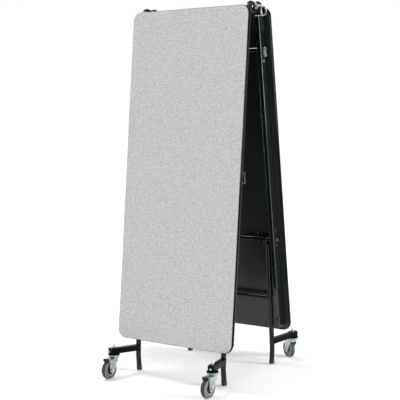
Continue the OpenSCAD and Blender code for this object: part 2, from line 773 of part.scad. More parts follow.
arm_root_y = pivot_y + (pivot_z - arm_z) * tan(leg_lean);
arm_end_z = caster_h + block_h / 2;
arm_run = norm([stem_x - leg_x, stem_y - arm_root_y]);
arm_turn = atan2(stem_x - leg_x, stem_y - arm_root_y);
arm_rise = atan2(arm_end_z - arm_z, arm_run);
flange_r = race_d / 2;
flange_t = 3;
set_screw_r = 3;
set_screw_z = caster_h + block_h / 2;
block_end = block_l - block_w / 2;
module caster_arm(side, sx) {
    arm_l = norm([arm_run, arm_end_z - arm_z]);
    color([0.1, 0.1, 0.11]) in_legs(side) mirror([sx > 0 ? 0 : 1, 0, 0]) difference() {
        union() {
            translate([leg_x, arm_root_y, arm_z]) rotate([0, 0, -arm_turn])
                rotate([arm_rise, 0, 0]) rotate([-90, 0, 0])
                    linear_extrude(arm_l) difference() {
                        round_rect(arm_w, arm_w, 3);
                        round_rect(arm_w - 2 * arm_wall, arm_w - 2 * arm_wall, 1);
                    }
            translate([stem_x, stem_y, caster_h]) rotate([0, 0, -arm_turn])
                linear_extrude(block_h) translate([0, (block_l - block_w) / 2])
                    round_rect(block_w, block_l, 5);
            translate([stem_x, stem_y, caster_h - flange_t])
                cylinder(r = flange_r, h = flange_t + eps);
        }
        leg_rod(leg_r);
        translate([stem_x, stem_y, 0]) cylinder(r = stem_d / 2 + hole_gap, h = 2 * caster_h);
        translate([stem_x, stem_y, set_screw_z]) rotate([0, 0, -arm_turn])
            rotate([-90, 0, 0]) cylinder(r = set_screw_r + hole_gap, h = block_l);
    }
}

// The stems with their nuts and set screws

race_top = caster_h - flange_t - clear;
crown_t = 3.5;
crown_z = wheel_d + 3.5;
king_head_t = 6;
stem_nut_flats = 16;
stem_nut_h = 12;
module stem_bolts(side) {
    block_top = caster_h + block_h;
    color([0.72, 0.74, 0.77]) in_legs(side) for (sx = [0, 1]) mirror([sx, 0, 0])
        translate([stem_x, stem_y, 0]) {
            translate([0, 0, crown_z - clear - king_head_t]) cylinder(r = 11, h = king_head_t);
            translate([0, 0, crown_z - clear - eps])
                cylinder(r = stem_d / 2, h = block_top + stem_nut_h - crown_z);
            translate([0, 0, block_top])
                cylinder(r = stem_nut_flats / 2 / cos(30), h = stem_nut_h, $fn = 6);
            translate([0, 0, block_top + stem_nut_h - eps])
                cylinder(r1 = stem_nut_flats / 2 - 0.5, r2 = stem_d / 2 - 2, h = 6);
            translate([0, 0, set_screw_z]) rotate([0, 0, -arm_turn]) rotate([-90, 0, 0]) {
                translate([0, 0, stem_d / 2])
                    cylinder(r = set_screw_r, h = block_end - stem_d / 2);
                translate([0, 0, block_end]) cylinder(r = 5.2, h = 3.2);
            }
        }
}

// The casters. Each is drawn with its stem on the Z axis and its wheel trailing to -Y

module at_caster(sx, sy) {
    translate([sx * stem_x, fold_y + sy * stem_y, 0])
        rotate([0, 0, sx > 0 && sy > 0 ? caster_turn : 0]) children();
}

axle_z = wheel_d / 2;
fork_in_x = wheel_w / 2 + 2.5;
fork_out_x = fork_in_x + fork_t;
fork_foot = [6 - trail, axle_z + 2];
fork_foot_r = 20;
fork_top_r = 27.5;
fork_back_y = fork_foot[0] - fork_foot_r;
crown_y = [5 - trail, 8];
brake_y = -60;
brake_z = crown_z + 1.5;
brake_lug_r = 6.5;
brake_pin_r = 3;

// Side outline of a fork leg, as (y, z)
module fork_leg_outline(brake) {
    intersection() {
        union() {
            belt([fork_back_y + fork_top_r, crown_z - 18], fork_top_r, fork_foot, fork_foot_r);
            translate([crown_y[0], crown_z - 18])
                square([crown_y[1] - crown_y[0], 18 + crown_t]);
        }
        translate([-trail - race_d, 0]) square([2 * race_d, crown_z + crown_t]);
    }
    if (brake) belt([-44, crown_z - 10], 8, [brake_y, brake_z], brake_lug_r);
}

module fork(sx, sy, brake) {
    color([0.72, 0.75, 0.78]) at_caster(sx, sy) difference() {
        union() {
            rotate_extrude($fn = 96) polygon([
                [0, crown_z], [24, crown_z], [26, crown_z + 4], [race_d / 2 - 2, race_top - 8],
                [race_d / 2, race_top - 6.5], [race_d / 2, race_top - 1.5],
                [race_d / 2 - 1.5, race_top], [0, race_top]]);
            translate([0, 0, crown_z]) linear_extrude(crown_t)
                translate([-fork_out_x, crown_y[0]])
                    square([2 * fork_out_x, crown_y[1] - crown_y[0]]);
            for (s = [0, 1]) mirror([s, 0, 0]) {
                plate_x(fork_in_x, fork_out_x) fork_leg_outline(brake);
                plate_x(fork_out_x - eps, fork_out_x + 1.5)
                    translate([-trail, axle_z]) circle(r = 10.5);
                plate_x(fork_out_x - eps, fork_out_x + 1.2)
                    belt([-30, crown_z - 17], 9, [-trail + 4, axle_z + 22], 6);
            }
        }
        translate([0, 0, crown_z - 1]) cylinder(r = stem_d / 2 + run_gap, h = caster_h);
        rod_x(-2 * fork_out_x, 2 * fork_out_x, axle_d / 2 + hole_gap, -trail, axle_z);
        if (brake) rod_x(-2 * fork_out_x, 2 * fork_out_x, brake_pin_r + run_gap, brake_y, brake_z);
    }
}

// Half of a wheel section is turned about the axle
module wheel_turn() {
    translate([0, -trail, axle_z]) rotate([0, 90, 0]) rotate_extrude($fn = 96) children();
}

module tyre(sx, sy) {
    outline = concat(
        [for (p = tyre_half) [p[0], -p[1]]],
        [for (k = [1:len(tyre_half)]) tyre_half[len(tyre_half) - k]]);
    color([0.42, 0.43, 0.43]) at_caster(sx, sy) wheel_turn() polygon(outline);
}

hub_r = 13;
module hub(sx, sy) {
    w = wheel_w / 2;
    out_r = rim_d / 2;
    bore_r = axle_d / 2 + run_gap;
    hub_w = fork_in_x - 0.4;
    color([0.16, 0.17, 0.19]) at_caster(sx, sy) wheel_turn() polygon([
        [bore_r, -hub_w], [hub_r - 1.5, -hub_w], [hub_r, -hub_w + 1.5], [hub_r + 1.5, -6],
        [out_r - 13, -5], [out_r - 11, -w + 6], [out_r - 7, -w + 3.5], [out_r - 4, -w + 4],
        [out_r, -w + 2.5],
        [out_r, w - 2.5], [out_r - 4, w - 4], [out_r - 7, w - 3.5], [out_r - 11, w - 6],
        [out_r - 13, 5], [hub_r + 1.5, 6], [hub_r, hub_w - 1.5], [hub_r - 1.5, hub_w],
        [bore_r, hub_w]]);
}

axle_head = 13;
module axle(sx, sy) {
    seat = fork_out_x + 1.5;
    color([0.72, 0.74, 0.77]) at_caster(sx, sy) translate([0, -trail, axle_z]) {
        rod_x(-seat - 7, seat + eps, axle_d / 2);
        hex_x(seat, seat + 5.3, axle_head);
        hex_x(-seat - 6, -seat, axle_head);
    }
}

brake_w = 30;
module brake_pedal(sx, sy) {
    inner = fork_in_x - 0.4;
    color([0.08, 0.08, 0.08]) at_caster(sx, sy) {
        rod_x(-fork_out_x - 1, fork_out_x + 1, brake_pin_r, brake_y, brake_z);
        rod_x(-inner, inner, 5, brake_y, brake_z);
        plate_x(-brake_w / 2, brake_w / 2)
            belt([brake_y, brake_z], 4, [brake_y - 10, brake_z - 4], 4.5);
    }
}

laminate(-1);  // near_laminate
laminate(1);  // far_laminate
core(-1);  // near_core
core(1);  // far_core
edge_band(-1);  // near_edge_band
edge_band(1);  // far_edge_band
rail(-1, 1);  // near_left_rail
rail(-1, -1);  // near_right_rail
rail(1, -1);  // far_left_rail
rail(1, 1);  // far_right_rail
outer_hinge_plate(-1, 1);  // near_left_hinge_plate
inner_hinge_plate(-1, -1);  // near_right_hinge_plate
inner_hinge_plate(1, -1);  // far_left_hinge_plate
outer_hinge_plate(1, 1);  // far_right_hinge_plate
cross_tube(-1);  // near_cross_tube
cross_tube(1);  // far_cross_tube
torsion_bar(-1);  // near_torsion_bar
torsion_bar(1);  // far_torsion_bar
lift_spring(-1);  // near_lift_spring
lift_spring(1);  // far_lift_spring
leg_saddles(-1);  // near_leg_saddles
leg_saddles(1);  // far_leg_saddles
rail_plugs(-1);  // near_rail_plugs
rail_plugs(1);  // far_rail_plugs
top_fasteners(-1);  // near_top_fasteners
top_fasteners(1);  // far_top_fasteners
wire_keeper(1);  // far_wire_keeper
hinge_pins();
leg(-1, 1);  // near_left_leg
leg(-1, -1);  // near_right_leg
leg(1, -1);  // far_left_leg
leg(1, 1);  // far_right_leg
leg_brace(-1);  // near_leg_brace
leg_brace(1);  // far_leg_brace
caster_arm(-1, 1);  // near_left_caster_arm
caster_arm(-1, -1);  // near_right_caster_arm
caster_arm(1, -1);  // far_left_caster_arm
caster_arm(1, 1);  // far_right_caster_arm
foot_caps(-1);  // near_foot_caps
foot_caps(1);  // far_foot_caps
stem_bolts(-1);  // near_stem_bolts
stem_bolts(1);  // far_stem_bolts
fork(-1, -1, true);  // near_left_fork
fork(1, -1, true);  // near_right_fork
fork(-1, 1, false);  // far_left_fork
fork(1, 1, false);  // far_right_fork
tyre(-1, -1);  // near_left_tyre
tyre(1, -1);  // near_right_tyre
tyre(-1, 1);  // far_left_tyre
tyre(1, 1);  // far_right_tyre
hub(-1, -1);  // near_left_hub
hub(1, -1);  // near_right_hub
hub(-1, 1);  // far_left_hub
hub(1, 1);  // far_right_hub
axle(-1, -1);  // near_left_axle
axle(1, -1);  // near_right_axle
axle(-1, 1);  // far_left_axle
axle(1, 1);  // far_right_axle
brake_pedal(-1, -1);  // near_left_brake_pedal
brake_pedal(1, -1);  // near_right_brake_pedal
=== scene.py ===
# %% [markdown]
# # A folding cafeteria table, dressed for its portrait
# The solid model of the table comes in as a fixed frame: every board, tube, bolt and wheel already has
# its place and its size, in metres. This lesson sets up the camera and the studio, gives each piece its
# finish, and then adds the small surfaces that a solid model leaves out: round spring wire, weld beads,
# wheel rings, rubber tyres, ribs and ridges.

# %% Load the frame
import json
import math
import bpy
import numpy as np
from mathutils import Matrix


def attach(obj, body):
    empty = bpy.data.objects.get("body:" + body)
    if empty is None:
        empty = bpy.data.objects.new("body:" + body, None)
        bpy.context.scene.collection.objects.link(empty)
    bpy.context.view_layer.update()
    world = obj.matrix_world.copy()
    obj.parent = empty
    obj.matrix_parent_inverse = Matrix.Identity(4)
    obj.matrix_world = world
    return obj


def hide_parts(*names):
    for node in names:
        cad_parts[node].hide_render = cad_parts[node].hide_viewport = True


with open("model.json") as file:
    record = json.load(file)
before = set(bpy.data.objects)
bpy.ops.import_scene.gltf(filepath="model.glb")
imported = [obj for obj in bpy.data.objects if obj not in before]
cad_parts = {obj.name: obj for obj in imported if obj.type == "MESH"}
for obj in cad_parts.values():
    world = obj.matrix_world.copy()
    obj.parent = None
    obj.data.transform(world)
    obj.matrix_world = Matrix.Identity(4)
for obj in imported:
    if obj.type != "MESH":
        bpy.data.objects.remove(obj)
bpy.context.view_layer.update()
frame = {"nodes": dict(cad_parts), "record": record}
nodes = frame["nodes"]
print("pieces in the frame:", len(nodes))

# %% [markdown]
# ## The camera
# The photograph shows the table from its front right, a little below head height. The camera's place,
# its turn and its focal length were fitted to straight edges and to the casters, which all have one size.
# A camera looks along its own -Z, so its three axes go into a matrix as columns.

# %% Camera
CAM_PLACE = (3.0540, -4.4289, 1.5322)
CAM_TURN = 0.6058
CAM_PITCH = -0.1054
CAM_ROLL = -0.0151
FOCAL_PX = 966.0
FRAME_PX = 400.0
SENSOR_MM = 36.0
VIEW_REACH_M = 60.0


def camera_axes(turn, pitch, roll):
    """Right, up and back as unit vectors: turn about Z, then pitch up, then roll about the view line."""
    right = np.array([math.cos(turn), math.sin(turn), 0.0])
    level = np.array([-math.sin(turn), math.cos(turn), 0.0])
    ahead = level * math.cos(pitch) + np.array([0.0, 0.0, math.sin(pitch)])
    up = np.cross(right, ahead)
    rolled_right = right * math.cos(roll) + up * math.sin(roll)
    rolled_up = up * math.cos(roll) - right * math.sin(roll)
    return rolled_right, rolled_up, -ahead


cam_data = bpy.data.cameras.new("portrait_lens")
cam_data.sensor_fit = "HORIZONTAL"
cam_data.sensor_width = SENSOR_MM
cam_data.lens = FOCAL_PX / FRAME_PX * SENSOR_MM
cam_data.clip_end = VIEW_REACH_M
camera = bpy.data.objects.new("portrait_camera", cam_data)
cam_matrix = np.eye(4)
cam_matrix[:3, :3] = np.stack(camera_axes(CAM_TURN, CAM_PITCH, CAM_ROLL), -1)
cam_matrix[:3, 3] = CAM_PLACE
camera.matrix_world = Matrix(cam_matrix.tolist())
scene = bpy.context.scene
scene.collection.objects.link(camera)
scene.camera = camera
scene.view_settings.view_transform = "Standard"
print("lens:", round(cam_data.lens, 1), "mm")

# %% [markdown]
# ## The floor's surface
# In the photograph the table stands on plain white, with soft shadows under its casters. The floor is one
# flat face that runs far back. A plane from the Add menu would do. But each new surface of this lesson is a
# grid of points worked out with numpy, so the function that joins such a grid into faces is written here,
# and the floor is its smallest case: two rows of two points.

# %% Floor surface
FLOOR_HALF_W, FLOOR_FRONT, FLOOR_BACK = 30.0, -5.0, 30.0


def grid_mesh(name, points, closed_u=False, closed_v=False):
    """A mesh over an array of points (rows, columns, 3): each cell of four neighbours is one face.
    Closed directions join the last row or column to the first. A tube, which is closed round its columns
    and open along its rows, gets one flat face over each end, turned so that it faces outwards too."""
    rows, cols = points.shape[:2]
    u = np.arange(rows if closed_u else rows - 1)
    v = np.arange(cols if closed_v else cols - 1)
    uu, vv = np.meshgrid(u, v, indexing="ij")
    un, vn = (uu + 1) % rows, (vv + 1) % cols
    cells = np.stack([uu * cols + vv, un * cols + vv, un * cols + vn, uu * cols + vn], -1)
    faces = cells.reshape(-1, 4).tolist()
    if closed_v and not closed_u:
        first_ring = list(range(cols))
        last_ring = list(range((rows - 1) * cols, rows * cols))
        faces += [first_ring, last_ring[::-1]]
    mesh = bpy.data.meshes.new(name)
    mesh.from_pydata(points.reshape(-1, 3).tolist(), [], faces)
    mesh.update()
    return mesh


def add_object(name, mesh):
    """An object in the scene that shows a mesh."""
    obj = bpy.data.objects.new(name, mesh)
    scene.collection.objects.link(obj)
    return obj


floor_x, floor_y = np.meshgrid([-FLOOR_HALF_W, FLOOR_HALF_W], [FLOOR_FRONT, FLOOR_BACK], indexing="ij")
floor = add_object("floor", grid_mesh("floor", np.stack([floor_x, floor_y, 0 * floor_x], -1)))
print("floor faces:", len(floor.data.polygons))

# %% [markdown]
# ## Wiring nodes
# A material is a tree of nodes, and most of its lines would be the same three steps: make a node, choose its
# kind, link its sockets. Trees could be drawn in the shader editor, but a script can be read and run again.
# Four short functions take the steps together. Each of their values is a constant or another node's output.

# %% Node functions


def feed(tree, socket, source):
    """Links a socket to another node's output, or sets a constant on it."""
    if isinstance(source, bpy.types.NodeSocket):
        tree.links.new(source, socket)
    else:
        socket.default_value = source


def math_node(tree, operation, *values, clamp=False):
    """The result of one step of arithmetic on two or three values, kept between 0 and 1 if clamped."""
    node = tree.nodes.new("ShaderNodeMath")
    node.operation = operation
    node.use_clamp = clamp
    for socket, value in zip(node.inputs, values):
        feed(tree, socket, value)
    return node.outputs[0]


def range_node(tree, value, start, end, low=0.0, high=1.0, curve="SMOOTHSTEP"):
    """low up to the start, high from the end on, and between them an S curve or a straight LINEAR one."""
    node = tree.nodes.new("ShaderNodeMapRange")
    node.interpolation_type = curve
    sources = {"Value": value, "From Min": start, "From Max": end, "To Min": low, "To Max": high}
    for socket, source in sources.items():
        feed(tree, node.inputs[socket], source)
    return node.outputs["Result"]


def new_material(name, constants):
    """A material, its node tree and its Principled shader with constants on named sockets."""
    mat = bpy.data.materials.new(name)
    mat.use_nodes = True
    shader = mat.node_tree.nodes["Principled BSDF"]
    for socket, value in constants.items():
        shader.inputs[socket].default_value = value
    return mat, mat.node_tree, shader


print("node functions:", [f.__name__ for f in (feed, math_node, range_node, new_material)])

# %% [markdown]
# ## The floor's white
# Paint alone would leave the floor grey far away, where the lamps don't reach, and a horizon would show. So
# the floor also glows: faintly near the table, where the shadows have to stay, and more with the distance,
# until floor and sky are one white. Only the camera and mirror rays see this glow. The rays that light a
# matt surface don't, as they would lift the black undersides to grey.

# %% Floor material
WHITE = (1, 1, 1, 1)
FLOOR_PAINT = (0.92, 0.92, 0.92, 1)
NEAR_GLOW, FAR_GLOW = 0.1, 0.62
GLOW_START, GLOW_END = 0.9, 3.6


def seen_directly(tree):
    """1 for rays from the camera and for mirror rays, 0 for the rays that light a matt surface."""
    ray = tree.nodes.new("ShaderNodeLightPath")
    return math_node(tree, "MAXIMUM", ray.outputs["Is Camera Ray"], ray.outputs["Is Glossy Ray"])


floor_mat, floor_tree, floor_shader = new_material("studio_floor", {
    "Base Color": FLOOR_PAINT, "Roughness": 0.9, "Specular IOR Level": 0.0, "Emission Color": WHITE})
floor.data.materials.append(floor_mat)
floor_place = floor_tree.nodes.new("ShaderNodeTexCoord")
floor_reach = floor_tree.nodes.new("ShaderNodeVectorMath")
floor_reach.operation = "LENGTH"
floor_tree.links.new(floor_place.outputs["Object"], floor_reach.inputs[0])
floor_glow = range_node(floor_tree, floor_reach.outputs["Value"], GLOW_START, GLOW_END, NEAR_GLOW, FAR_GLOW)
floor_strength = math_node(floor_tree, "MULTIPLY", seen_directly(floor_tree), floor_glow)
floor_tree.links.new(floor_strength, floor_shader.inputs["Emission Strength"])
print("floor glow:", NEAR_GLOW, "at", GLOW_START, "m to", FAR_GLOW, "at", GLOW_END, "m")

# %% [markdown]
# ## The sky
# A studio has white paper behind the table and a dimmer room in front of it, where the camera stands. The
# black tubes mirror both, which gives them a dark middle between two thin bright edges. Walls could be
# built for that, but the sky can play both parts: the camera sees it at full white, mirror rays see it
# white behind the table and dim in front, and the light that it throws on matt surfaces is soft.

# %% Sky
SKY_TINT = (0.97, 0.98, 1.0, 1)
SKY_LIGHT = 0.6
ROOM_IN_MIRRORS = 0.25
ROOM_START, ROOM_END = -0.35, 0.65

world = bpy.data.worlds.new("studio_sky")
world.use_nodes = True
sky_tree = world.node_tree
sky_light = sky_tree.nodes["Background"]
sky_light.inputs["Color"].default_value = SKY_TINT
sky_light.inputs["Strength"].default_value = SKY_LIGHT
sky_way = sky_tree.nodes.new("ShaderNodeTexCoord")
sky_split = sky_tree.nodes.new("ShaderNodeSeparateXYZ")
sky_tree.links.new(sky_way.outputs["Generated"], sky_split.inputs[0])
sky_room = range_node(sky_tree, sky_split.outputs["Y"], ROOM_START, ROOM_END, ROOM_IN_MIRRORS, 1.0)
sky_ray = sky_tree.nodes.new("ShaderNodeLightPath")
sky_strength = math_node(sky_tree, "MAXIMUM", sky_ray.outputs["Is Camera Ray"], sky_room)
sky_seen = sky_tree.nodes.new("ShaderNodeBackground")
sky_seen.inputs["Color"].default_value = WHITE
sky_tree.links.new(sky_strength, sky_seen.inputs["Strength"])
sky_mix = sky_tree.nodes.new("ShaderNodeMixShader")
sky_tree.links.new(seen_directly(sky_tree), sky_mix.inputs[0])
sky_tree.links.new(sky_light.outputs[0], sky_mix.inputs[1])
sky_tree.links.new(sky_seen.outputs[0], sky_mix.inputs[2])
sky_tree.links.new(sky_mix.outputs[0], sky_tree.nodes["World Output"].inputs["Surface"])
scene.world = world
print("sky light:", SKY_LIGHT, "and in mirrors", ROOM_IN_MIRRORS, "to 1")

# %% [markdown]
# ## The lamps
# The picture's light is soft and comes from several sides. Large lamps would give that, but the lamps here
# are compact, because a small bright lamp draws a thin clear line along a glossy tube. One in front lights
# the broad face, one stands at the right, one low at the left shines into the gap between the halves, and
# one hangs overhead. The sky fills in the rest.

# %% Lamps


def lamp(name, place, target, size, power):
    """A square area lamp at place that looks at target, with its size in metres and its power in watts."""
    data = bpy.data.lights.new(name, "AREA")
    data.size = size
    data.energy = power
    obj = bpy.data.objects.new(name, data)
    back = np.array(place) - np.array(target)
    back = back / np.linalg.norm(back)
    right = np.cross([0, 0, 1], back)
    right = right / np.linalg.norm(right)
    m = np.eye(4)
    m[:3, :] = np.stack([right, np.cross(back, right), back, place], -1)
    obj.matrix_world = Matrix(m.tolist())
    scene.collection.objects.link(obj)


lamp("key", (1.8, -5.6, 4.5), (0, 0, 1.2), 1.8, 104)
lamp("side_strip", (5.0, 1.6, 1.6), (0.3, 0.2, 1.2), 1.4, 250)
lamp("gap_strip", (-5.2, 0.1, 0.6), (0.0, 0.1, 0.7), 1.0, 80)
lamp("top", (-2.0, -0.2, 5.0), (0.1, 0.2, 1.0), 1.4, 90)
print("lamps:", len(bpy.data.lights))

# %% [markdown]
# ## Node groups and noise
# Three effects are shared by nearly all finishes of this table: a tone that drifts, a fine relief and a
# rubbed gloss. Their nodes could be copied into every material. As node groups with named sockets they are
# built once and placed wherever they are wanted, each time with other values. All of them read noise on
# Object coordinates, so a pattern stays where it is on its piece when the table unfolds.

# %% Group functions
# A Mix node keeps sockets for every kind of value: these are the ones of a colour.
MIX_SHARE, MIX_A, MIX_B, MIX_RESULT = 0, 6, 7, 2


def new_group(name, inputs, outputs):
    """A shader node group with float or colour inputs {name: default} and outputs {name: socket type}."""
    group = bpy.data.node_groups.new(name, "ShaderNodeTree")
    for key, value in inputs.items():
        kind = "NodeSocketColor" if isinstance(value, tuple) else "NodeSocketFloat"
        socket = group.interface.new_socket(name=key, in_out="INPUT", socket_type=kind)
        socket.default_value = value
    for key, kind in outputs.items():
        group.interface.new_socket(name=key, in_out="OUTPUT", socket_type=kind)
    return group, group.nodes.new("NodeGroupInput"), group.nodes.new("NodeGroupOutput")


def noise_node(tree, scale, detail, roughness=0.5):
    """Noise between 0 and 1 on the object's own coordinates."""
    coords = tree.nodes.new("ShaderNodeTexCoord")
    noise = tree.nodes.new("ShaderNodeTexNoise")
    tree.links.new(coords.outputs["Object"], noise.inputs["Vector"])
    feed(tree, noise.inputs["Scale"], scale)
    noise.inputs["Detail"].default_value = detail
    noise.inputs["Roughness"].default_value = roughness
    return noise.outputs["Fac"]


def mix_node(tree, share, first, second):
    """The colour at a share of the way from the first to the second."""
    node = tree.nodes.new("ShaderNodeMix")
    node.data_type = "RGBA"
    for index, source in ((MIX_SHARE, share), (MIX_A, first), (MIX_B, second)):
        feed(tree, node.inputs[index], source)
    return node.outputs[MIX_RESULT]


print("group functions:", [f.__name__ for f in (new_group, noise_node, mix_node)])

# %% [markdown]
# ## Drifting tone
# Powder coat, plating and moulded plastic are never one flat colour: the tone drifts a little from place
# to place. One colour would look like a drawing, and a painted picture would need every piece unwrapped.
# Slow noise that mixes two close tones needs neither.

# %% Drifting tone
NOISE_MIDDLE = 0.5


def tone_group():
    """Two tones mixed by slow noise: colour = mix(A, B, smoothstep of the noise from 0.5 less the
    contrast to 0.5 plus the contrast)."""
    inputs = {"Tone A": (0.5, 0.5, 0.5, 1), "Tone B": (0.6, 0.6, 0.6, 1), "Scale": 8.0, "Contrast": 0.25}
    group, enter, leave = new_group("tone_drift", inputs, {"Color": "NodeSocketColor"})
    noise = noise_node(group, enter.outputs["Scale"], detail=4.0, roughness=0.6)
    low = math_node(group, "SUBTRACT", NOISE_MIDDLE, enter.outputs["Contrast"])
    high = math_node(group, "ADD", NOISE_MIDDLE, enter.outputs["Contrast"])
    share = range_node(group, noise, low, high)
    color = mix_node(group, share, enter.outputs["Tone A"], enter.outputs["Tone B"])
    group.links.new(color, leave.inputs["Color"])
    return group


TONE = tone_group()
print("node group:", TONE.name)

# %% [markdown]
# ## Fine relief
# Under a lamp the same surfaces show a fine skin: powder coat has its grain, zinc its crystals, rubber the
# skin of its mould. Modelled as faces it would need millions of them, and it is too shallow to change an
# outline, so noise feeds the height of a bump instead.

# %% Fine relief
FINE_RATIO = 4.0


def relief_group():
    """height = noise at one scale + a share of noise at four times that scale."""
    inputs = {"Scale": 400.0, "Fine Share": 0.4}
    group, enter, leave = new_group("fine_relief", inputs, {"Height": "NodeSocketFloat"})
    coarse = noise_node(group, enter.outputs["Scale"], detail=2.0)
    fine_scale = math_node(group, "MULTIPLY", enter.outputs["Scale"], FINE_RATIO)
    fine = noise_node(group, fine_scale, detail=1.0)
    height = math_node(group, "MULTIPLY_ADD", fine, enter.outputs["Fine Share"], coarse)
    group.links.new(height, leave.inputs["Height"])
    return group


RELIEF = relief_group()
print("node group:", RELIEF.name)

# %% [markdown]
# ## Rubbed gloss
# Hands, cloths and floors rub a table unevenly, so no highlight on it is quite even. One roughness for a
# whole piece would give a highlight as clean as glass, so slow noise changes it from place to place.

# %% Rubbed gloss


def rub_group():
    """roughness = base + spread * noise, kept between 0 and 1."""
    inputs = {"Base": 0.35, "Spread": 0.15, "Scale": 25.0}
    group, enter, leave = new_group("rubbed_gloss", inputs, {"Roughness": "NodeSocketFloat"})
    noise = noise_node(group, enter.outputs["Scale"], detail=5.0, roughness=0.65)
    base, spread = enter.outputs["Base"], enter.outputs["Spread"]
    roughness = math_node(group, "MULTIPLY_ADD", noise, spread, base, clamp=True)
    group.links.new(roughness, leave.inputs["Roughness"])
    return group


RUBBED = rub_group()
print("node group:", RUBBED.name)

# %% [markdown]
# ## A finish in one call
# Paint, plating and plastic differ only in two tones, in how glossy they are and in how deep their relief
# is. Each finish could have its own tree, but one function can wire the three groups to a Principled shader
# for all of them, and each finish then gives its own numbers. Numbers that are the same all over a surface
# go straight on the shader's sockets.

# %% Finish function
BUMP_STRENGTH = 0.5


def place_group(tree, group, values):
    """A node group placed in a tree, with constants on its named sockets."""
    node = tree.nodes.new("ShaderNodeGroup")
    node.node_tree = group
    for socket, value in values.items():
        node.inputs[socket].default_value = value
    return node


def gloss_and_relief(tree, shader, gloss, relief, strength):
    """Roughness from the rubbed gloss and Normal from the fine relief of a material: gloss = (base, spread,
    scale) and relief = (scale, distance in metres)."""
    rub = place_group(tree, RUBBED, {"Base": gloss[0], "Spread": gloss[1], "Scale": gloss[2]})
    fine = place_group(tree, RELIEF, {"Scale": relief[0]})
    bump = tree.nodes.new("ShaderNodeBump")
    bump.inputs["Distance"].default_value = relief[1]
    bump.inputs["Strength"].default_value = strength
    tree.links.new(rub.outputs["Roughness"], shader.inputs["Roughness"])
    tree.links.new(fine.outputs["Height"], bump.inputs["Height"])
    tree.links.new(bump.outputs["Normal"], shader.inputs["Normal"])


def finish(name, dark, light, scale, gloss, relief, metallic=0.0, specular=0.5, contrast=0.2):
    """A finish whose colour drifts between a dark and a light tone, with noise of the given scale. Its gloss
    and relief are as above."""
    mat, tree, shader = new_material(name, {"Metallic": metallic, "Specular IOR Level": specular})
    tones = {"Tone A": (*dark, 1), "Tone B": (*light, 1), "Scale": scale, "Contrast": contrast}
    tone = place_group(tree, TONE, tones)
    tree.links.new(tone.outputs["Color"], shader.inputs["Base Color"])
    gloss_and_relief(tree, shader, gloss, relief, BUMP_STRENGTH)
    return mat


print("finish functions:", [f.__name__ for f in (place_group, gloss_and_relief, finish)])

# %% [markdown]
# ## The black finishes
# Nearly everything behind the broad faces is black, but not one black. The board's sealed underside is
# duller than the powder coat on the rails, and the vinyl moulding hardly shines. One black for all would
# melt them into a single dark shape, so each has its own tones and its own gloss.

# %% Black finishes
FINISHES = {
    "core": finish("sealed_board", (0.008, 0.011, 0.012), (0.012, 0.016, 0.017), 6.0,
                   gloss=(0.24, 0.12, 14.0), relief=(260.0, 0.0002), specular=0.6),
    "edge_moulding": finish("vinyl_moulding", (0.003, 0.0036, 0.004), (0.005, 0.006, 0.0065), 20.0,
                            gloss=(0.08, 0.05, 40.0), relief=(300.0, 0.0001), specular=0.02),
    "black_frame": finish("powder_coat_rail", (0.004, 0.0054, 0.0058), (0.007, 0.009, 0.0095), 5.0,
                          gloss=(0.07, 0.05, 12.0), relief=(420.0, 0.0001), specular=0.6),
    "black_leg": finish("powder_coat_tube", (0.004, 0.0045, 0.0048), (0.007, 0.0078, 0.008), 9.0,
                        gloss=(0.06, 0.06, 20.0), relief=(420.0, 0.0001), specular=0.3),
    "black_arm": finish("powder_coat_arm", (0.004, 0.0044, 0.0046), (0.007, 0.0076, 0.008), 12.0,
                        gloss=(0.16, 0.10, 30.0), relief=(400.0, 0.00015), specular=0.03),
    "black_hinge": finish("powder_coat_plate", (0.006, 0.009, 0.009), (0.011, 0.016, 0.016), 30.0,
                          gloss=(0.16, 0.12, 50.0), relief=(380.0, 0.0001), specular=0.08),
    "black_plastic": finish("moulded_plastic", (0.012, 0.012, 0.012), (0.02, 0.02, 0.02), 40.0,
                            gloss=(0.45, 0.15, 60.0), relief=(700.0, 0.0003)),
}
print("black finishes:", len(FINISHES))

# %% [markdown]
# ## The bright metals
# The caster forks are zinc plated sheet with a bluish shine, their bolts are brighter, the springs and the
# wire keeper are drawn steel, the hinge pins are darker and oiled, and the torsion bars' zinc is rougher
# than that of the casters, with darker tones that are painted shade. A light grey with a high gloss would
# look like paint. A metal has no colour of its own under its shine, so each of these has Metallic at 1 and
# its two tones tint what it mirrors.

# %% Bright metals
METALS = {
    "zinc": finish("zinc_sheet", (0.30, 0.37, 0.375), (0.56, 0.62, 0.62), 45.0,
                   gloss=(0.22, 0.18, 60.0), relief=(500.0, 0.0002), metallic=1.0, contrast=0.25),
    "zinc_bolt": finish("zinc_bolt", (0.36, 0.40, 0.41), (0.62, 0.66, 0.67), 90.0,
                        gloss=(0.18, 0.2, 90.0), relief=(700.0, 0.0001), metallic=1.0, contrast=0.3),
    "spring_steel": finish("spring_wire", (0.33, 0.35, 0.36), (0.50, 0.52, 0.53), 80.0,
                           gloss=(0.26, 0.2, 80.0), relief=(800.0, 0.0001), metallic=1.0),
    "dark_steel": finish("oiled_steel", (0.30, 0.35, 0.35), (0.48, 0.53, 0.53), 80.0,
                         gloss=(0.2, 0.2, 80.0), relief=(700.0, 0.0001), metallic=1.0),
    # The torsion bars' zinc: rougher than the casters', and its darker tones are painted shade.
    "rough_shade_painted_zinc": finish("rough_shade_painted_zinc", (0.14, 0.17, 0.175), (0.25, 0.28, 0.28), 45.0,
                        gloss=(0.34, 0.18, 60.0), relief=(500.0, 0.0002), metallic=1.0),
}
FINISHES.update(METALS)
print("metals:", len(METALS))
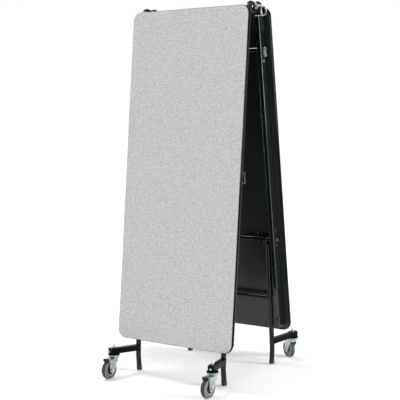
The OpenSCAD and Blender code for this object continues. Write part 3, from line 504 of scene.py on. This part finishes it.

# %% [markdown]
# ## Rubber and plastics
# The wheels are grey rubber that leaves no marks, round a dark nylon hub with an ochre ring. The tread has
# darker tones than the side walls, and the side walls are darker inside their groove, towards the rim. All
# of them are soft in their shine, so their base roughness is high.

# %% Rubber and plastics
SOFT_FINISHES = {
    "tyre": finish("grey_rubber", (0.155, 0.185, 0.187), (0.245, 0.28, 0.278), 40.0,
                   gloss=(0.4, 0.2, 50.0), relief=(500.0, 0.0004)),
    # The tread's tones are darker than those of the side walls.
    "tread": finish("darker_tread_rubber", (0.028, 0.028, 0.024), (0.052, 0.052, 0.046), 90.0,
                    gloss=(0.5, 0.2, 50.0), relief=(500.0, 0.0004)),
    # The side wall inside its groove, towards the rim, has darker tones.
    "inner_wall": finish("inner_wall_rubber", (0.040, 0.048, 0.054), (0.068, 0.080, 0.088), 60.0,
                         gloss=(0.5, 0.2, 50.0), relief=(500.0, 0.0003)),
    "hub_plastic": finish("moulded_nylon", (0.020, 0.024, 0.032), (0.036, 0.042, 0.052), 40.0,
                          gloss=(0.35, 0.15, 60.0), relief=(600.0, 0.0003)),
    "ochre_ring": finish("ochre_nylon", (0.26, 0.23, 0.085), (0.38, 0.34, 0.13), 60.0,
                         gloss=(0.4, 0.15, 60.0), relief=(600.0, 0.0002)),
    "brake_plastic": finish("brake_plastic", (0.007, 0.007, 0.008), (0.012, 0.012, 0.013), 40.0,
                            gloss=(0.35, 0.15, 60.0), relief=(600.0, 0.0003), specular=0.25),
}
FINISHES.update(SOFT_FINISHES)
print("rubbers and plastics:", len(SOFT_FINISHES))

# %% [markdown]
# ## The laminate
# The broad face is a printed laminate: a pale grey with soft darker and lighter clouds a few millimetres
# wide, and fine specks between them. A picture of the print could be laid over the face, but it would
# repeat or blur. Three noises of different size, laid over each other, have no direction and no repeat,
# like the real print.

# %% Laminate
CLOUD_SCALE, FLECK_SCALE, GRAIN_SCALE = 180.0, 380.0, 850.0
FLECK_SHARE, GRAIN_SHARE = 0.65, 0.35
DARKEST_AT, LIGHTEST_AT = 0.84, 1.16
DARK_GREY, LIGHT_GREY = (0.448, 0.429, 0.432, 1), (0.705, 0.688, 0.690, 1)


def laminate_finish():
    """colour = grey ramp of (cloud + 0.65 fleck + 0.35 grain), with a slow change of gloss."""
    mat, tree, shader = new_material("cloud_laminate", {"Specular IOR Level": 0.1})
    cloud = noise_node(tree, CLOUD_SCALE, detail=1.5)
    fleck = noise_node(tree, FLECK_SCALE, detail=1.0)
    grain = noise_node(tree, GRAIN_SCALE, detail=1.0)
    flecked = math_node(tree, "MULTIPLY_ADD", fleck, FLECK_SHARE, cloud)
    grained = math_node(tree, "MULTIPLY_ADD", grain, GRAIN_SHARE, flecked)
    share = range_node(tree, grained, DARKEST_AT, LIGHTEST_AT, curve="LINEAR")
    tree.links.new(mix_node(tree, share, DARK_GREY, LIGHT_GREY), shader.inputs["Base Color"])
    gloss_and_relief(tree, shader, gloss=(0.6, 0.12, 8.0), relief=(600.0, 0.0001), strength=0.4)
    return mat


FINISHES["laminate"] = laminate_finish()
print("finishes:", len(FINISHES))

# %% [markdown]
# ## Each node takes its finish
# Sixty pieces could be given their finishes by hand, one by one. But the frame says which slot each of them
# belongs to, so a loop does it. Only the torsion bars go their own way: they share the casters' slot, and
# their zinc is rougher, with darker tones that are painted shade. The meshes of the solid model stay as they
# are, and only their material changes.

# %% Dress the nodes
slot_of = {s["node"]: s["material_slot"] for s in frame["record"]["subparts"]}
for node_name, node_obj in nodes.items():
    # The torsion bars take the rougher zinc, whose darker tones are painted shade.
    look = "rough_shade_painted_zinc" if node_name.endswith("torsion_bar") else slot_of[node_name]
    node_obj.data.materials.clear()
    node_obj.data.materials.append(FINISHES[look])
print("dressed nodes:", len(slot_of))

# %% [markdown]
# ## Places on the table
# The new pieces have to sit on the solid ones to a fraction of a millimetre. Their places could be measured
# on the solids, but the frame knows where every joint is. So the centre pins, the legs' pivots, the caster
# stems and the axles are read from it, to the micrometre. A half of the top is level once its legs have
# turned through their whole range, so it leans by what that range leaves of a right angle. Both halves are
# the same piece turned half round, and so are the leg sets, so one function serves both of each.

# %% Places
joints = {joint["name"]: joint for joint in frame["record"]["behaviour"]["joints"]}
JOINT_AT = {name: np.round(joint["pos_m"], 6) for name, joint in joints.items()}
FOLD_Y, PIN_Z = JOINT_AT["centre_fold"][1:]
TILT = math.radians(90 - joints["near_leg_fold"]["range_deg"][1])
PIVOT_Y = FOLD_Y - JOINT_AT["near_leg_fold"][1]
PIVOT_Z = JOINT_AT["near_leg_fold"][2]
STEM_X = JOINT_AT["far_right_swivel"][0]
STEM_Y = JOINT_AT["far_right_swivel"][1] - FOLD_Y
TRAIL = JOINT_AT["near_left_swivel"][1] - JOINT_AT["near_left_spin"][1]
AXLE_Z = JOINT_AT["near_left_spin"][2]
# As in the solid model: a leg's distance from the middle, its radius and its lean.
LEG_X, LEG_R, LEG_LEAN = 0.287, 0.0143, math.radians(3.5)
SIDES = {"near": -1.0, "far": 1.0}
HANDS = {"left": -1.0, "right": 1.0}
CORNERS = [(side_name, side, hand_name, hand)
           for side_name, side in SIDES.items() for hand_name, hand in HANDS.items()]


def on_half(side, points):
    """Points (x, u, v) of a half into the row frame: u runs down the half from the centre pins and v stands
    square to it, so y = u sin t + v cos t and z = pin - u cos t + v sin t. The near half is turned half
    round about Z."""
    p = np.asarray(points, dtype=float)
    y = p[..., 1] * math.sin(TILT) + p[..., 2] * math.cos(TILT)
    z = PIN_Z - p[..., 1] * math.cos(TILT) + p[..., 2] * math.sin(TILT)
    return np.stack([side * p[..., 0], FOLD_Y + side * y, z], -1)


def on_legs(side, points):
    """Points (x, y, z) of the far leg set into the row frame, the near set turned half round about Z."""
    p = np.asarray(points, dtype=float)
    return np.stack([side * p[..., 0], FOLD_Y + side * p[..., 1], p[..., 2]], -1)


print("centre pins at", PIN_Z, "m, and the halves lean by", round(math.degrees(TILT), 2), "degrees")

# %% [markdown]
# ## A round tube along any path
# Wire, weld beads and ribs are all round in section. A curve object with a bevel would make them, but its
# thickness can't ripple like a weld and its ends stay open. Here a circle is carried along the path as
# arrays of points. Each next circle is turned as little as the path's own bend asks, so that no tube looks
# wrung.

# %% Tubes
ASKEW = [0.31, 0.52, 0.79]


def ring_frames(path, closed):
    """Side and lift at each point: the side is carried along so that the tube doesn't twist, and
    lift = side x tangent, so that the cells between two rings face outwards. The first side is square to
    the path and to a direction that no path here follows."""
    after, before = np.roll(path, -1, 0), np.roll(path, 1, 0)
    if not closed:
        after[-1], before[0] = path[-1], path[0]
    tangent = after - before
    tangent /= np.linalg.norm(tangent, axis=1)[:, None]
    side = np.empty_like(tangent)
    side[0] = np.cross(tangent[0], ASKEW)
    side[0] /= np.linalg.norm(side[0])
    for i in range(1, len(path)):
        side[i] = side[i - 1] - tangent[i] * np.dot(side[i - 1], tangent[i])
        side[i] /= np.linalg.norm(side[i])
    return side, np.cross(side, tangent)


def tube_points(path, radius, around, closed=False):
    """Points p + r (cos a side + sin a lift); the radius may change along the path."""
    path = np.asarray(path, dtype=float)
    side, lift = ring_frames(path, closed)
    radius = np.broadcast_to(radius, len(path)).astype(float)
    a = np.linspace(0, 2 * math.pi, around, endpoint=False)
    ring = np.cos(a)[None, :, None] * side[:, None] + np.sin(a)[None, :, None] * lift[:, None]
    return path[:, None] + radius[:, None, None] * ring


def dressed(name, points, slot, body, closed_u=False):
    """Makes a smooth piece from a row of rings, gives it the finish of a slot and rides it on a body."""
    mesh = grid_mesh(name, points, closed_u, closed_v=True)
    mesh.materials.append(FINISHES[slot])
    mesh.polygons.foreach_set("use_smooth", [True] * len(mesh.polygons))
    obj = add_object(name, mesh)
    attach(obj, body)
    return obj


print("tube functions:", [f.__name__ for f in (ring_frames, tube_points, dressed)])

# %% [markdown]
# ## The lift springs
# A torsion spring sits at each outer hinge plate. Its wire makes an eye round the hinge pin, runs along the
# plate to the coil, winds a little over two turns and drops to a hook under the rail. The solid model winds
# it with few sides. Smoothing those would bend the straights too, so the same path is drawn again with a
# round wire, which takes the solid's place.

# %% Lift springs
# How far the rail's free edge and its middle lie from the centre pins, square to the half (v).
RAIL_V, RAIL_MID_V = 0.0333, 0.0618
WIRE_R, WIRE_SIDES = 0.0025, 16
COIL_R, COIL_PITCH, COIL_TURNS = 0.024, 0.0057, 2
COIL_U, COIL_V = 0.021, RAIL_MID_V - 0.002
EYE_X, EYE_R, EYE_TURN = 0.3528, 0.0069, math.radians(265)
HOOK_R, HOOK_X, HOOK_GAP = 0.007, 0.327, 0.0003
HOOK_V = RAIL_V - WIRE_R - HOOK_GAP
EYE_STEPS, COIL_STEPS, HOOK_STEPS = 40, 160, 10


def straight(start, end, count, last=0.9):
    """Points start + share (end - start), with shares from a tenth to the last one."""
    return start + (end - start) * np.linspace(0.1, last, count)[:, None]


def spring_path():
    """Eye arc, then the outer tangent, then a helix x = x0 + pitch a / 2 pi that turns back to the angle 0,
    then a straight down to a quarter bend under the rail."""
    tangent_a = math.atan2(COIL_V, COIL_U) + math.acos((EYE_R - COIL_R) / math.hypot(COIL_U, COIL_V))
    a = tangent_a + EYE_TURN * np.linspace(1, 0, EYE_STEPS)
    eye = np.stack([0 * a + EYE_X, EYE_R * np.cos(a), EYE_R * np.sin(a)], -1)
    b = np.linspace(0, tangent_a + 2 * math.pi * COIL_TURNS, COIL_STEPS)
    coil = np.stack([EYE_X + COIL_PITCH * b / (2 * math.pi), COIL_U + COIL_R * np.cos(tangent_a - b),
                     COIL_V + COIL_R * np.sin(tangent_a - b)], -1)
    c = np.linspace(0, math.pi / 2, HOOK_STEPS)
    out_x, hook_u = coil[-1, 0], COIL_U + COIL_R
    hook = np.stack([out_x - HOOK_R * (1 - np.cos(c)), 0 * c + hook_u,
                     HOOK_V + HOOK_R * (1 - np.sin(c))], -1)
    to_coil = straight(eye[-1], coil[0], 9)
    arm = straight(coil[-1], hook[0], 6)
    tail = straight(hook[-1], np.array([HOOK_X, hook_u, HOOK_V]), 6, last=1.0)
    return np.concatenate([eye, to_coil, coil, arm, hook, tail])


for side_name, side in SIDES.items():
    points = tube_points(on_half(side, spring_path()), WIRE_R, WIRE_SIDES)
    spring = dressed(f"{side_name}_lift_spring_wire", points, "spring_steel", f"{side_name}_half")
    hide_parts(f"{side_name}_lift_spring")
    print(spring.name, "faces:", len(spring.data.polygons))

# %% [markdown]
# ## Seams of the leg frames
# The leg frames are welded: a bead runs where the brace meets a leg, where a caster arm meets a leg above
# and below, and round the arm where it enters its end block. The curve in which two tubes cut each other
# could be picked from the mesh by hand. It is worked out here instead, so that it lies on the metal exactly.

# %% Seams
# As in the solid model: the brace's radius and height, and a caster arm's two heights and half width.
BRACE_R, BRACE_Z = 0.0125, 0.392
ARM_Z, ARM_END_Z, ARM_HALF = 0.135, 0.1465, 0.016
# How far before the stem the block's face lies, and how far a bead's middle stands off the leg.
BLOCK_BACK, SEAM_OUT = 0.0182, 0.0006
BRACE_STEPS, ARM_STEPS, BLOCK_STEPS = 96, 40, 112


def leg_y(height):
    """The leaning leg's distance from the fold's middle plane at a height."""
    return PIVOT_Y + (PIVOT_Z - height) * math.tan(LEG_LEAN)


def brace_seam(hand):
    """Where the brace (radius b, along X) meets a leg (radius r, leaning): x = leg - sqrt(r^2 - d^2), with
    d = b cos(a - lean) the distance from the leg's middle plane."""
    a = np.linspace(0, 2 * math.pi, BRACE_STEPS, endpoint=False)
    d = BRACE_R * np.cos(a - LEG_LEAN)
    x = LEG_X - np.sqrt(LEG_R ** 2 - d ** 2)
    return np.stack([hand * x, leg_y(BRACE_Z) + BRACE_R * np.cos(a), BRACE_Z + BRACE_R * np.sin(a)], -1)


def arm_frame():
    """Start, end, direction, side and lift of a caster arm, from the leg to the stem."""
    start, end = np.array([LEG_X, leg_y(ARM_Z), ARM_Z]), np.array([STEM_X, STEM_Y, ARM_END_Z])
    ahead = (end - start) / np.linalg.norm(end - start)
    across = np.cross(ahead, [0, 0, 1])
    across /= np.linalg.norm(across)
    return start, end, ahead, across, np.cross(across, ahead)


def arm_leg_seam(hand, level):
    """Half circle round the leg at the arm's top or bottom edge: r (cos a ahead + sin a across)."""
    start, _, ahead, across, lift = arm_frame()
    a = np.linspace(-0.5 * math.pi, 0.5 * math.pi, ARM_STEPS)
    circle = np.cos(a)[:, None] * ahead + np.sin(a)[:, None] * across
    return (start + level * lift + (LEG_R + SEAM_OUT) * circle) * [hand, 1, 1]


def arm_block_seam(hand):
    """The arm's square outline where it enters the end block, as steps between its corners."""
    _, end, ahead, across, lift = arm_frame()
    corners = np.array([[-1, -1], [1, -1], [1, 1], [-1, 1], [-1, -1]]) * ARM_HALF
    t = np.linspace(0, 4, BLOCK_STEPS, endpoint=False)
    k = np.floor(t).astype(int)
    flat = corners[k] + (corners[k + 1] - corners[k]) * (t - k)[:, None]
    return (end - BLOCK_BACK * ahead + flat[:, :1] * across + flat[:, 1:] * lift) * [hand, 1, 1]


print("the brace meets the legs", round(leg_y(BRACE_Z), 4), "m from the fold's middle plane")

# %% [markdown]
# ## Weld beads
# A weld is laid down drop by drop, so its bead ripples. A bump would show the ripple but not the bead's
# outline, so each bead is a thin tube along its seam whose radius rises and falls once per drop. It has the
# arms' satin black, as it was painted with them.

# %% Weld beads
BEAD_R, DROP_LENGTH, DROP_SHARE, BEAD_SIDES = 0.0017, 0.0032, 0.16, 8


def bead_radius(path):
    """r (1 + 0.16 cos of the distance along the path over a drop's length)."""
    steps = np.linalg.norm(np.diff(path, axis=0), axis=1)
    run = np.concatenate([[0], np.cumsum(steps)])
    return BEAD_R * (1 + DROP_SHARE * np.cos(run * 2 * math.pi / DROP_LENGTH))


beads = 0
for side_name, side, hand_name, hand in CORNERS:
    own_hand = hand * side
    seams = {"brace": (brace_seam(own_hand), True),
             "arm_top": (arm_leg_seam(own_hand, ARM_HALF), False),
             "arm_under": (arm_leg_seam(own_hand, -ARM_HALF), False),
             "block": (arm_block_seam(own_hand), True)}
    for label, (seam, closed) in seams.items():
        path = on_legs(side, seam)
        points = tube_points(path, bead_radius(path), BEAD_SIDES, closed)
        dressed(f"{side_name}_{hand_name}_{label}_weld", points, "black_arm", f"{side_name}_leg_set", closed)
        beads += 1
print("weld beads:", beads)

# %% [markdown]
# ## Turning a profile
# The round details of a caster are turned, as on a lathe: a profile of (distance from the axis, place along
# it) goes once round. Blender's Screw modifier turns a profile too, but with arrays a piece can be drawn
# about the stem of a caster that looks straight ahead, and then turned with it. The far right caster was
# left turned about its stem, and its wheel's joint says by how much.

# %% Turning functions


def turned(profile, centre, axis, around):
    """Points c + r (cos a p + sin a q) + h axis for each (r, h) of a closed profile, where p and q are
    square to the axis and to each other."""
    axis = np.asarray(axis, dtype=float)
    p = np.cross(axis, [0.0, 1.0, 1.0] if abs(axis[0]) > 0.5 else [1.0, 0.0, 0.0])
    p /= np.linalg.norm(p)
    q = np.cross(axis, p)
    a = np.linspace(0, 2 * math.pi, around, endpoint=False)
    circle = np.cos(a)[:, None] * p + np.sin(a)[:, None] * q
    return centre + profile[None, :, :1] * circle[:, None] + profile[None, :, 1:] * axis


def on_caster(caster, points):
    """Points drawn about a stem, with the wheel trailing to -Y, turned and moved to their caster. The axle
    points along (cos a, sin a), where a is the caster's turn about its stem."""
    cos_a, sin_a, _ = joints[f"{caster}_spin"]["axis"]
    turn = np.array([[cos_a, sin_a, 0], [-sin_a, cos_a, 0], [0, 0, 1]])
    stem_x, stem_y, _ = JOINT_AT[f"{caster}_swivel"]
    return np.asarray(points, dtype=float) @ turn + [stem_x, stem_y, 0.0]


def turned_piece(name, profile, caster, axis, centre, slot, body, around):
    """A turned piece of a caster, as an object that rides on one of its bodies."""
    points = on_caster(caster, turned(profile, centre, axis, around))
    return dressed(name, points, slot, body, closed_u=True)


print("turning functions:", [f.__name__ for f in (turned, on_caster, turned_piece)])

# %% [markdown]
# ## Wheel rings and race seams
# Each wheel has an ochre ring set into either face of its dark hub, and the swivel race shows the dark seam
# where its upper cup turns over the lower one. Both could be painted on. But the ring has two soft ridges
# that catch the light, and the seam is a lip that stands out a quarter of a millimetre, so both are thin
# turned pieces.

# %% Caster rings
RING_SIDES = 64
RING_PROFILE = np.array([[30.0, 11.0], [34.6, 12.0], [34.4, 12.9], [33.6, 13.0], [32.0, 12.6], [29.2, 13.1],
                         [27.6, 12.2], [27.0, 10.5]]) / 1000
SEAM_PROFILE = np.array([[31.4, 120.9], [32.25, 120.9], [32.25, 121.7], [31.4, 121.7]]) / 1000
STEM_FOOT, WHEEL_MIDDLE = [0, 0, 0], [0, -TRAIL, AXLE_Z]

rings = 0
for side_name, _, hand_name, _ in CORNERS:
    caster = f"{side_name}_{hand_name}"
    for face_name, face in (("inner", -1.0), ("outer", 1.0)):
        ring = turned_piece(f"{caster}_{face_name}_ring", RING_PROFILE, caster, (face, 0, 0), WHEEL_MIDDLE,
                            "hub_plastic", f"{caster}_wheel", RING_SIDES)
        ring.data.materials[0] = FINISHES["ochre_ring"]
        rings += 1
    turned_piece(f"{caster}_race_seam", SEAM_PROFILE, caster, (0, 0, 1), STEM_FOOT, "black_plastic",
                 f"{caster}_caster", RING_SIDES)
print("wheel rings:", rings)

# %% [markdown]
# ## The tyres
# A moulded rubber tyre has no hard corner: its tread is nearly flat in the middle and falls away ever faster
# towards the sides, as a power of the distance from the middle. A fine ridge runs round the tread where the
# two halves of the mould met, and each side wall has a groove above the rim. Bevelled edges could round the
# solid's corners but not draw this curve, so the whole tyre is turned from its profile and takes the
# solid's place. The tread, the shoulders and the inner wall are three rubbers, chosen face by face.

# %% Tyres
TYRE_R, TYRE_HALF_W = 0.051, 0.016
TYRE_SIDES, TREAD_STEPS = 96, 26
CROWN_FALL, RIDGE_H, RIDGE_HALF_W = 0.0057, 0.0003, 0.0007
SIDE_WALL = np.array([[44.6, 16.0], [43.6, 15.9], [43.2, 15.4], [42.4, 15.4], [42.0, 15.9], [41.0, 16.0],
                      [38.4, 15.3], [36.6, 14.2], [36.0, 13.5]]) / 1000
INNER_WALL_R, TREAD_HALF_W = 0.0434, 0.0115


def tyre_profile():
    """Tread r = R - ridge height - crown fall |h / w|^4, with a cosine ridge in the middle, then a side
    wall that comes in to the rim, mirrored for the other side."""
    t = np.linspace(0, 1, TREAD_STEPS)
    h = TYRE_HALF_W * t
    ridge = RIDGE_H * (1 + np.cos(np.clip(h / RIDGE_HALF_W, 0, 1) * math.pi)) / 2
    r = TYRE_R - RIDGE_H - CROWN_FALL * t ** 4 + ridge
    half = np.concatenate([np.stack([r, h], -1), SIDE_WALL])
    return np.concatenate([half, half[::-1][:-1] * [1, -1]])


def rubber_of(distance, across):
    """0 shoulder and outer wall, 1 tread, 2 inner wall: the tread by its distance from the middle, the inner
    wall by its radius, up to the groove."""
    return np.where(distance < INNER_WALL_R, 2, np.where(np.abs(across) < TREAD_HALF_W, 1, 0))


profile = tyre_profile()
strip_middle = (profile + np.roll(profile, -1, 0)) / 2
rubbers = np.tile(rubber_of(strip_middle[:, 0], strip_middle[:, 1]), TYRE_SIDES)
for side_name, _, hand_name, _ in CORNERS:
    caster = f"{side_name}_{hand_name}"
    tyre = turned_piece(f"{caster}_tyre_rubber", profile, caster, (1, 0, 0), WHEEL_MIDDLE, "tyre",
                        f"{caster}_wheel", TYRE_SIDES)
    tyre.data.materials.append(FINISHES["tread"])
    tyre.data.materials.append(FINISHES["inner_wall"])
    tyre.data.polygons.foreach_set("material_index", rubbers.tolist())
    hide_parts(f"{caster}_tyre")
    print(tyre.name, "faces:", len(tyre.data.polygons))

# %% [markdown]
# ## Ribs on the brake pedals
# Each pedal is a short plate that slopes down and forward from its pin, with three ribs for the toe. They
# could be cut into the plate, but a rib is only a thin rounded bar that stands a little out of the plain
# surface, so the tube function makes it.

# %% Pedal ribs
PEDAL_PIN_Y = JOINT_AT["near_left_brake_press"][1] - JOINT_AT["near_left_swivel"][1]
PEDAL_PIN_Z = JOINT_AT["near_left_brake_press"][2]
# From the pin to the pedal's tip, and from the plate's middle line out to its upper face.
PEDAL_REACH, PEDAL_FALL = 0.010, 0.004
PEDAL_FACE_Y, PEDAL_FACE_Z = -0.0016, 0.0040
RIB_COUNT, FIRST_RIB, RIB_PITCH = 3, 0.2, 0.35
RIB_HALF_L, RIB_R, RIB_RISE = 0.0125, 0.0007, 0.0002
RIB_STEPS, RIB_SIDES = 9, 8


def rib_path(share):
    """A line along X over the pedal's face: pin + share (reach, fall) + the way out to the face."""
    x = np.linspace(-RIB_HALF_L, RIB_HALF_L, RIB_STEPS)
    y = PEDAL_PIN_Y - PEDAL_REACH * share + PEDAL_FACE_Y
    z = PEDAL_PIN_Z - PEDAL_FALL * share + PEDAL_FACE_Z + RIB_RISE
    return np.stack([x, 0 * x + y, 0 * x + z], -1)


for hand_name in HANDS:
    for k in range(RIB_COUNT):
        path = on_caster(f"near_{hand_name}", rib_path(FIRST_RIB + RIB_PITCH * k))
        dressed(f"near_{hand_name}_pedal_rib_{k}", tube_points(path, RIB_R, RIB_SIDES), "brake_plastic",
                f"near_{hand_name}_brake")
print("pedal ribs:", len(HANDS) * RIB_COUNT)

# %% [markdown]
# ## Ridges on the foot caps
# A plastic cap closes the lower end of each leg's tube, and its ridges let it be pulled off. Level rings
# would be easy to place, but the foot is bent out of the leg at the knee and leans a little, so they would
# sit crooked on it. Each ring is worked out square to the foot instead.

# %% Cap ridges
# As in the solid model: the knee's height, the radius and turn of its bend, and the cap's radius.
KNEE_Z, KNEE_R, FOOT_TURN, CAP_R = 0.096, 0.060, math.radians(8), 0.0151
RIDGE_COUNT, FIRST_RIDGE_Z, RIDGE_PITCH_Z = 3, 0.012, 0.005
CAP_RIDGE_R, CAP_RIDGE_STEPS, CAP_RIDGE_SIDES = 0.0006, 48, 8


def cap_ring(hand, height):
    """A circle square to the foot, at a height. In the leaning leg's plane the knee's bend of radius R and
    turn f ends at (R cos f - R, -L - R sin f) from the pivot, and the foot goes on from there at the angle
    f less the lean."""
    leg_length = (PIVOT_Z - KNEE_Z) / math.cos(LEG_LEAN)
    foot_lean = FOOT_TURN - LEG_LEAN
    bend_end = (KNEE_R * (math.cos(FOOT_TURN) - 1), -leg_length - KNEE_R * math.sin(FOOT_TURN))
    y = PIVOT_Y + bend_end[0] * math.cos(LEG_LEAN) - bend_end[1] * math.sin(LEG_LEAN)
    z = PIVOT_Z + bend_end[0] * math.sin(LEG_LEAN) + bend_end[1] * math.cos(LEG_LEAN)
    centre = np.array([LEG_X, y - (z - height) * math.tan(foot_lean), height])
    a = np.linspace(0, 2 * math.pi, CAP_RIDGE_STEPS, endpoint=False)
    along_x, square_to_foot = [1.0, 0.0, 0.0], [0.0, math.cos(foot_lean), -math.sin(foot_lean)]
    circle = np.cos(a)[:, None] * along_x + np.sin(a)[:, None] * square_to_foot
    return (centre + CAP_R * circle) * [hand, 1, 1]


for side_name, side, hand_name, hand in CORNERS:
    for k in range(RIDGE_COUNT):
        path = on_legs(side, cap_ring(hand * side, FIRST_RIDGE_Z + RIDGE_PITCH_Z * k))
        points = tube_points(path, CAP_RIDGE_R, CAP_RIDGE_SIDES, closed=True)
        dressed(f"{side_name}_{hand_name}_cap_ridge_{k}", points, "black_plastic", f"{side_name}_leg_set",
                closed_u=True)
print("cap ridges:", len(CORNERS) * RIDGE_COUNT)
